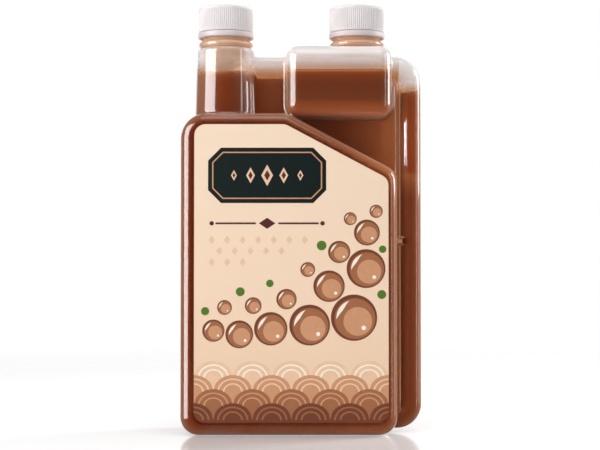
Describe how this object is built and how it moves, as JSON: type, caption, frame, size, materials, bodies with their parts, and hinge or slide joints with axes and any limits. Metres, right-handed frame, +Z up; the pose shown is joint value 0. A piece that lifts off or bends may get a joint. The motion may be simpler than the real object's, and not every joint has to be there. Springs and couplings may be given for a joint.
{
  "type": "twin-neck dosing bottle",
  "caption": "Flat translucent refill bottle of liquid hand soap with a filling neck, a dosing chamber fed by a side tube, ribbed screw caps with tamper bands, and a front label.",
  "frame": {"origin": "centre of the overall box, on the floor plane under the base", "axes": "+X right towards the side tube, +Y to the back, +Z up; the label faces -Y"},
  "size_m": [0.1326, 0.054, 0.2364],
  "materials": {
    "bottle_plastic": "gloss",
    "soap": "gloss",
    "cap_plastic": "satin",
    "wad_foam": "matte",
    "label_film": "satin"
  },
  "bodies": {
    "bottle": {"bottle": "bottle_plastic", "body_soap": "soap", "chamber_soap": "soap", "front_label": "label_film", "fill_tamper_band": "cap_plastic", "dose_tamper_band": "cap_plastic"},
    "fill_wad": {"fill_cap_wad": "wad_foam"},
    "fill_cap": {"fill_cap": "cap_plastic"},
    "dose_wad": {"dose_cap_wad": "wad_foam"},
    "dose_cap": {"dose_cap": "cap_plastic"}
  },
  "joints": [
    {"name": "fill_cap_rise", "type": "slide", "parent": "bottle", "child": "fill_wad", "axis": [0, 0, 1], "range_m": [0, 0.0064]},
    {"name": "fill_cap_turn", "type": "hinge", "parent": "fill_wad", "child": "fill_cap", "pos_m": [-0.0427, 0, 0.2132], "axis": [0, 0, 1], "range_deg": [0, 540]},
    {"name": "dose_cap_rise", "type": "slide", "parent": "bottle", "child": "dose_wad", "axis": [0, 0, 1], "range_m": [0, 0.0064]},
    {"name": "dose_cap_turn", "type": "hinge", "parent": "dose_wad", "child": "dose_cap", "pos_m": [0.0307, 0, 0.2132], "axis": [0, 0, 1], "range_deg": [0, 540]}
  ],
  "couplings": [
    {"joint": "fill_cap_rise", "follows": "fill_cap_turn", "m_per_rad": 0.000673},
    {"joint": "dose_cap_rise", "follows": "dose_cap_turn", "m_per_rad": 0.000673}
  ]
}
